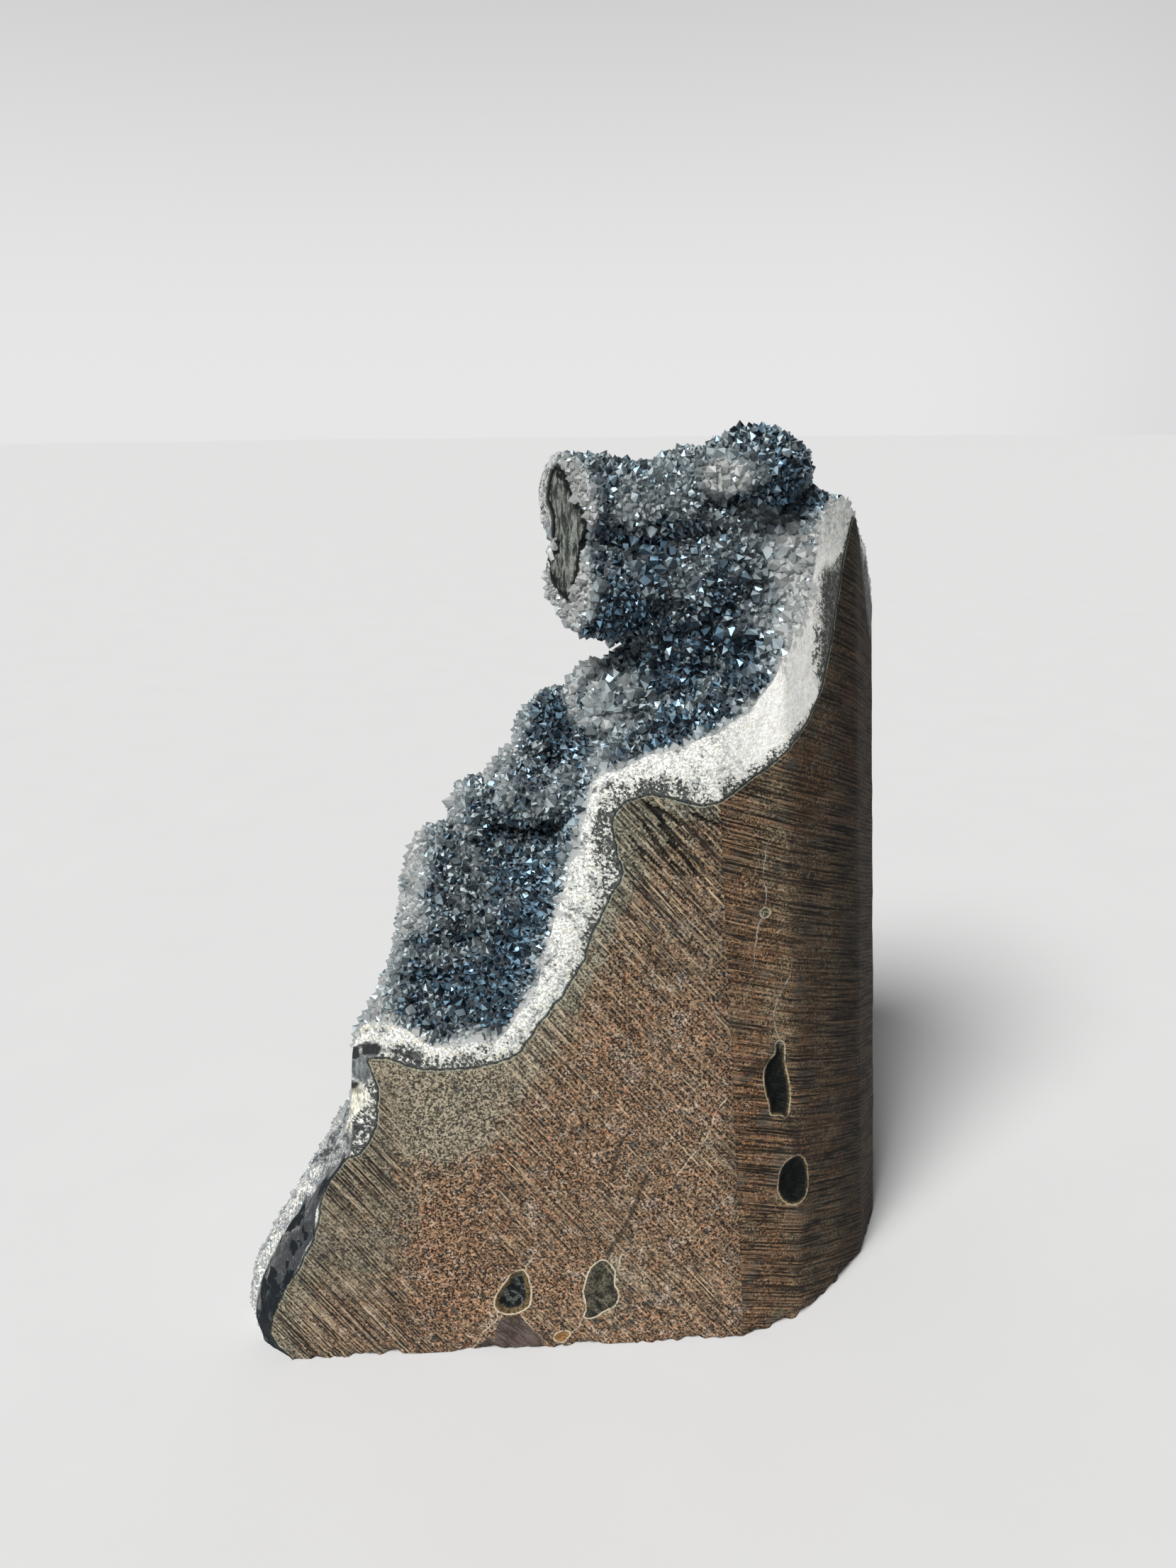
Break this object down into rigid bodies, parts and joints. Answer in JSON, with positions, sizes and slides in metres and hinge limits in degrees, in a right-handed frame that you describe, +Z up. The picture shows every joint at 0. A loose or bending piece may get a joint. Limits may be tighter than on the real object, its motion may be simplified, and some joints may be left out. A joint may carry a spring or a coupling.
{
  "type": "sawn quartz druse on basalt, a free-standing cut base mineral specimen",
  "caption": "Free-standing mineral specimen: sawn basalt block with a white quartz band, a crust of smoky crystal points and a sawn double stalactite.",
  "frame": {"origin": "middle of the bounding box on the plane of the sawn underside", "axes": "+Z up, the sawn front face looks along -Y, +X to the right seen from the front"},
  "size_m": [0.1888, 0.108, 0.236],
  "materials": {
    "basalt": "sawn, matt, with fine parallel saw marks",
    "quartz": "crowded glossy crystal points, smoky blue-grey, on a white quartz band"
  },
  "bodies": {
    "root": {"basalt_matrix": "basalt", "quartz_druse": "quartz"}
  },
  "joints": []
}
